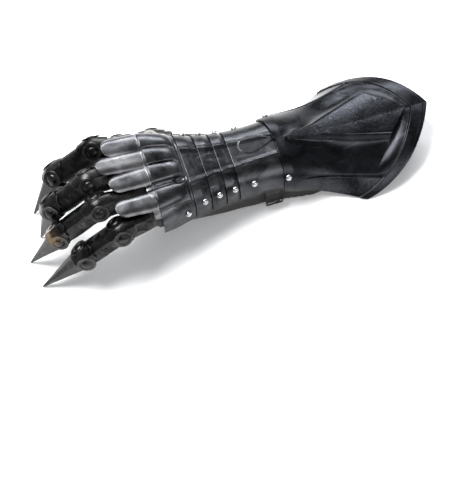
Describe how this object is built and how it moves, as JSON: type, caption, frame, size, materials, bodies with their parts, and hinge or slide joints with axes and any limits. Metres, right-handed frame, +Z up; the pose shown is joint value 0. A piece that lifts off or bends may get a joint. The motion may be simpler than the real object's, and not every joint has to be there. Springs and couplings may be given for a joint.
{
  "type": "armoured gauntlet",
  "caption": "Armoured gauntlet for a left hand: pointed flared cuff, overlapping wrist plates, fluted back and knuckles, jointed finger plates with claw tips over a leather glove.",
  "frame": {"origin": "middle of the part's footprint on the surface that it lies on", "axes": "+Z up from that surface, -X towards the fingertips and +X towards the cuff, +Y towards the thumb side"},
  "size_m": [0.435, 0.1512, 0.0955],
  "materials": {
    "black_steel": "blackened, polished, with fine brush marks and worn lighter edges",
    "bright_steel": "bright domed rivet heads",
    "leather": "soft black, matt with a slight sheen"
  },
  "bodies": {
    "root": {"cuff": "black_steel", "wrist_plate": "black_steel", "wrist_lame_1": "black_steel", "wrist_lame_2": "black_steel", "back_plate": "black_steel", "metacarpal_plate": "black_steel", "knuckle_plate": "black_steel", "index_base_plate": "black_steel", "index_knuckle_cap": "black_steel", "index_mid_plate": "black_steel", "index_tip_cap": "black_steel", "index_claw": "black_steel", "middle_base_plate": "black_steel", "middle_knuckle_cap": "black_steel", "middle_mid_plate": "black_steel", "middle_tip_cap": "black_steel", "middle_claw": "black_steel", "ring_base_plate": "black_steel", "ring_knuckle_cap": "black_steel", "ring_mid_plate": "black_steel", "ring_tip_cap": "black_steel", "ring_claw": "black_steel", "little_base_plate": "black_steel", "little_knuckle_cap": "black_steel", "little_mid_plate": "black_steel", "little_tip_cap": "black_steel", "little_claw": "black_steel", "thumb_base_plate": "black_steel", "thumb_knuckle_cap": "black_steel", "thumb_mid_plate": "black_steel", "thumb_tip_cap": "black_steel", "thumb_claw": "black_steel", "buckle": "black_steel", "rivet_near_1": "bright_steel", "rivet_far_1": "bright_steel", "rivet_near_2": "bright_steel", "rivet_far_2": "bright_steel", "rivet_near_3": "bright_steel", "rivet_far_3": "bright_steel", "rivet_near_4": "bright_steel", "rivet_far_4": "bright_steel", "rivet_near_5": "bright_steel", "rivet_far_5": "bright_steel", "rivet_near_6": "bright_steel", "rivet_far_6": "bright_steel", "glove": "leather", "wrist_strap": "leather", "glove_index": "leather", "glove_middle": "leather", "glove_ring": "leather", "glove_little": "leather", "glove_thumb": "leather"}
  },
  "joints": []
}
